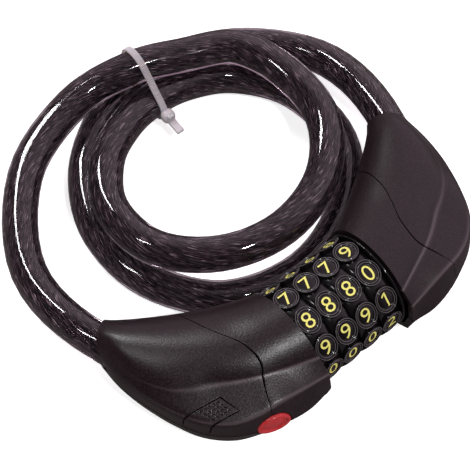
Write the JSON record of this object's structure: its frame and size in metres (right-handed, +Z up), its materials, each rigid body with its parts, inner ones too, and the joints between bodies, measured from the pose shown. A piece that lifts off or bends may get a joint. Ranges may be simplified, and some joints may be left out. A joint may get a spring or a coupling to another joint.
{
  "type": "cable lock",
  "caption": "Combination bicycle lock: crescent head with number dials, push-button light and battery door, and a sleeved steel cable coiled between its two halves.",
  "frame": {"origin": "on the table under the middle of the lock's head, without its cable", "axes": "+X along the dial axis towards the plug half, +Y from the head towards the coil, +Z up"},
  "size_m": [0.1451, 0.1421, 0.0363],
  "materials": {
    "housing_charcoal": "fine satin texture",
    "dial_black": "glossy",
    "black_gloss": "glossy",
    "button_red": "satin",
    "smoked_pvc": "glossy smoked clear PVC",
    "rope_steel": "stranded wire",
    "plated_steel": "zinc plated",
    "die_cast_zinc": "as cast",
    "cam_brass": "machined",
    "contact_brass": "sheet",
    "board_green": "solder mask",
    "led_lens": "clear epoxy",
    "tie_nylon": "natural nylon"
  },
  "bodies": {
    "lock_half": {"lock_core": "die_cast_zinc", "dial_tube": "plated_steel", "dial_end_ring": "black_gloss", "dial_detents": "plated_steel", "wire_rope": "rope_steel", "cable_sleeve": "smoked_pvc", "cable_tie": "tie_nylon", "lock_ferrule": "plated_steel", "lock_ferrule_pin": "plated_steel", "light_cells": "plated_steel", "cell_contact": "contact_brass", "light_board": "board_green", "light_led": "led_lens", "button_spring": "rope_steel", "lock_bottom_shell": "housing_charcoal", "lock_dial_cover": "housing_charcoal", "lock_cable_cover": "housing_charcoal", "lock_screws": "plated_steel"},
    "number_1": {"dial_1": "dial_black", "cam_1": "cam_brass"},
    "number_2": {"dial_2": "dial_black", "cam_2": "cam_brass"},
    "number_3": {"dial_3": "dial_black", "cam_3": "cam_brass"},
    "number_4": {"dial_4": "dial_black", "cam_4": "cam_brass"},
    "plug_half": {"plug_core": "die_cast_zinc", "lock_bolt": "plated_steel", "plug_ferrule": "plated_steel", "plug_ferrule_pin": "plated_steel", "plug_bottom_shell": "housing_charcoal", "plug_dial_cover": "housing_charcoal", "plug_cable_cover": "housing_charcoal", "plug_screws": "plated_steel"},
    "button": {"light_button": "button_red"},
    "door": {"battery_door": "housing_charcoal"}
  },
  "joints": [
    {"name": "dial_1_turn", "type": "hinge", "parent": "lock_half", "child": "number_1", "pos_m": [-0.01245, -0.01084, 0.018], "axis": [1, 0, 0], "continuous": true},
    {"name": "dial_2_turn", "type": "hinge", "parent": "lock_half", "child": "number_2", "pos_m": [-0.00415, -0.01084, 0.018], "axis": [1, 0, 0], "continuous": true},
    {"name": "dial_3_turn", "type": "hinge", "parent": "lock_half", "child": "number_3", "pos_m": [0.00415, -0.01084, 0.018], "axis": [1, 0, 0], "continuous": true},
    {"name": "dial_4_turn", "type": "hinge", "parent": "lock_half", "child": "number_4", "pos_m": [0.01245, -0.01084, 0.018], "axis": [1, 0, 0], "continuous": true},
    {"name": "plug_slide", "type": "slide", "parent": "lock_half", "child": "plug_half", "axis": [1, 0, 0], "range_m": [0, 0.05], "deforming": ["cable_sleeve", "wire_rope"]},
    {"name": "button_press", "type": "slide", "parent": "lock_half", "child": "button", "axis": [0.3305, 0.9438, 0], "range_m": [0, 0.0012], "stiffness_N_per_m": 500, "deforming": ["button_spring"]},
    {"name": "battery_door_slide", "type": "slide", "parent": "lock_half", "child": "door", "axis": [-0.97, 0.243, 0], "range_m": [0, 0.008]}
  ]
}
